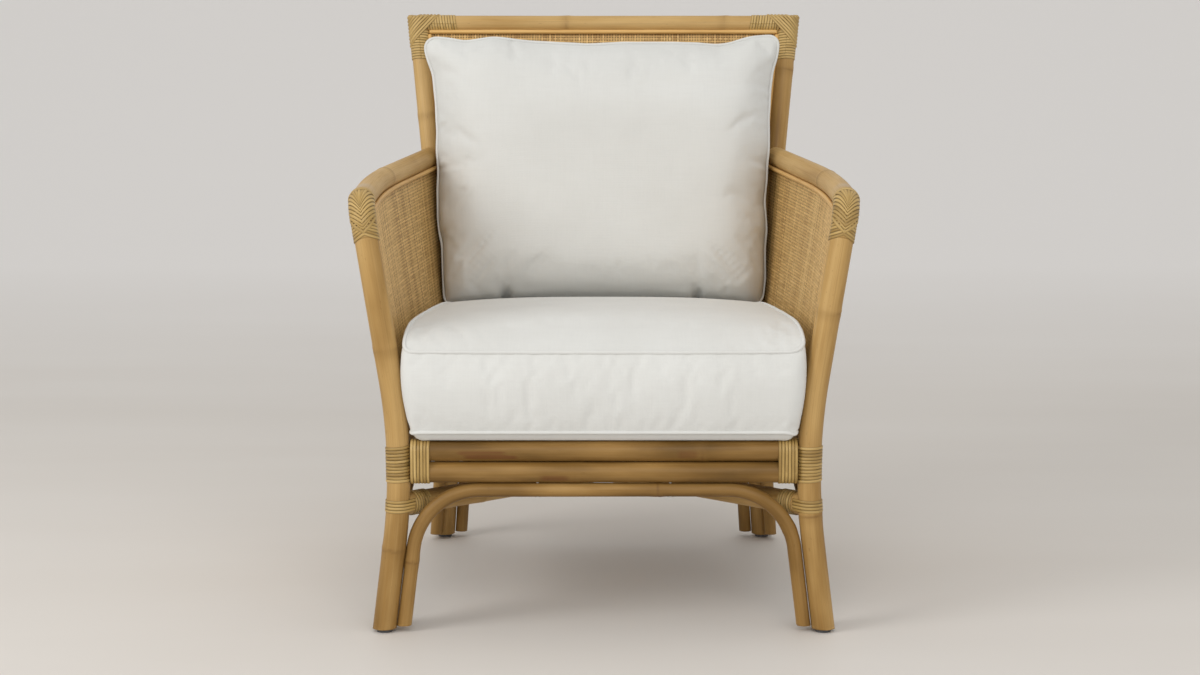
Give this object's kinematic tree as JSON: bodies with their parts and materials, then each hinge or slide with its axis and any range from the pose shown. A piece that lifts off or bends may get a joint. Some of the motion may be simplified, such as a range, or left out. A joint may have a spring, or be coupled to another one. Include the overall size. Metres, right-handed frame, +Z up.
{
  "type": "rattan armchair",
  "caption": "Low rattan armchair with flared arms, woven cane back and sides, arched leg braces, cane lashings, a boxed seat cushion and a loose back pillow.",
  "frame": {"origin": "on the floor, under the middle of the chair's bounding box", "axes": "+Z up, -Y towards the front of the chair, +X to the viewer's right from the front"},
  "size_m": [0.7046, 0.7497, 0.8649],
  "materials": {
    "rattan_pole": "peeled rattan pole, clear satin lacquer, honey tan with darker nodes",
    "lashing": "split cane lashing, satin",
    "cane": "square-woven cane webbing, natural",
    "reed_bead": "round reed bead, satin",
    "cushion_fabric": "off-white plain-woven cotton or linen",
    "cushion_filling": "soft foam and fibre filling",
    "glide_plastic": "dark grey nylon",
    "screw_steel": "zinc-plated steel",
    "dowel_wood": "plain beech dowel"
  },
  "bodies": {
    "frame": {"arch_screws": "screw_steel", "arm_left": "rattan_pole", "arm_right": "rattan_pole", "arm_screws": "screw_steel", "back_bead": "reed_bead", "back_lower_rail": "rattan_pole", "back_post_binding_left": "lashing", "back_post_binding_right": "lashing", "back_post_left": "rattan_pole", "back_post_right": "rattan_pole", "cane_back": "cane", "cane_side_left": "cane", "cane_side_right": "cane", "deck_poles": "rattan_pole", "elbow_binding_left": "lashing", "elbow_binding_right": "lashing", "floor_glides": "glide_plastic", "front_arch": "rattan_pole", "front_leg_binding_left": "lashing", "front_leg_binding_right": "lashing", "front_leg_left": "rattan_pole", "front_leg_right": "rattan_pole", "front_rail_binding_left": "lashing", "front_rail_binding_right": "lashing", "front_rail_lower": "rattan_pole", "front_rail_upper": "rattan_pole", "joint_dowels": "dowel_wood", "rear_arch": "rattan_pole", "rear_rail_binding_left": "lashing", "rear_rail_binding_right": "lashing", "rear_rail_lower": "rattan_pole", "rear_rail_upper": "rattan_pole", "rear_stretcher_bindings": "lashing", "side_arch_left": "rattan_pole", "side_arch_right": "rattan_pole", "side_bead_left": "reed_bead", "side_bead_right": "reed_bead", "side_rail_bindings": "lashing", "side_rail_lower_left": "rattan_pole", "side_rail_lower_right": "rattan_pole", "side_rail_upper_left": "rattan_pole", "side_rail_upper_right": "rattan_pole", "stretcher_end_binding_left": "lashing", "stretcher_end_binding_right": "lashing", "stretcher_left": "rattan_pole", "stretcher_leg_binding_left": "lashing", "stretcher_leg_binding_right": "lashing", "stretcher_right": "rattan_pole", "top_corner_binding_left": "lashing", "top_corner_binding_right": "lashing", "top_rail": "rattan_pole"},
    "seat_cushion": {"seat_cushion_cover": "cushion_fabric", "seat_cushion_foam": "cushion_filling", "seat_cushion_welts": "cushion_fabric"},
    "back_cushion": {"back_cushion_cover": "cushion_fabric", "back_cushion_fill": "cushion_filling", "back_cushion_welt": "cushion_fabric"}
  },
  "joints": [
    {"name": "seat_cushion_slide", "type": "slide", "parent": "frame", "child": "seat_cushion", "axis": [0, -0.9994, 0.0355], "range_m": [0, 0.6]},
    {"name": "back_cushion_lift", "type": "slide", "parent": "frame", "child": "back_cushion", "axis": [0, 0, 1], "range_m": [0, 0.5]}
  ]
}
